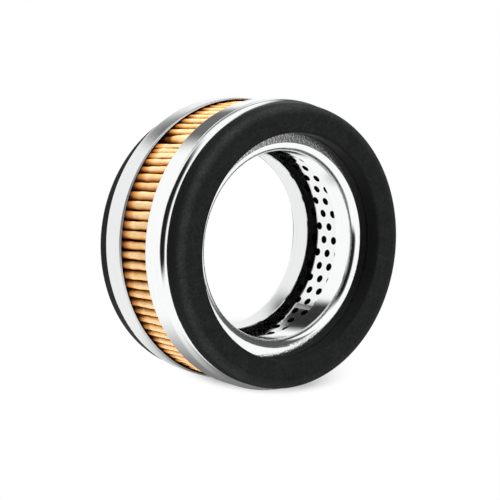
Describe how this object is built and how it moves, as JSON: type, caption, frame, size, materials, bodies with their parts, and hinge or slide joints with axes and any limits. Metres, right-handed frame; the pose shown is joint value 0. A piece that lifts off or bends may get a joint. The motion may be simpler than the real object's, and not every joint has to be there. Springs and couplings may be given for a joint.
{
  "type": "round air filter element",
  "caption": "Ring-shaped pleated paper air filter element with pressed tinplate end caps, a perforated inner core and a flat rubber gasket on each end face.",
  "frame": {"origin": "centre of the lower gasket's resting face", "axes": "+Z along the filter's axis, from the lower gasket to the upper one; +X and +Y are the picture's right and up, seen along the axis"},
  "size_m": [0.102, 0.102, 0.049],
  "materials": {
    "cap_tinplate": "bright tinplate, lightly drawn",
    "core_tinplate": "bright perforated tinplate",
    "filter_paper": "resin-treated tan filter paper",
    "gasket_rubber": "matte black soft rubber",
    "potting_plastisol": "cured plastisol"
  },
  "bodies": {
    "root": {"upper_end_cap": "cap_tinplate", "lower_end_cap": "cap_tinplate", "perforated_core": "core_tinplate", "pleated_media": "filter_paper", "upper_gasket": "gasket_rubber", "lower_gasket": "gasket_rubber", "upper_potting": "potting_plastisol", "lower_potting": "potting_plastisol"}
  },
  "joints": []
}
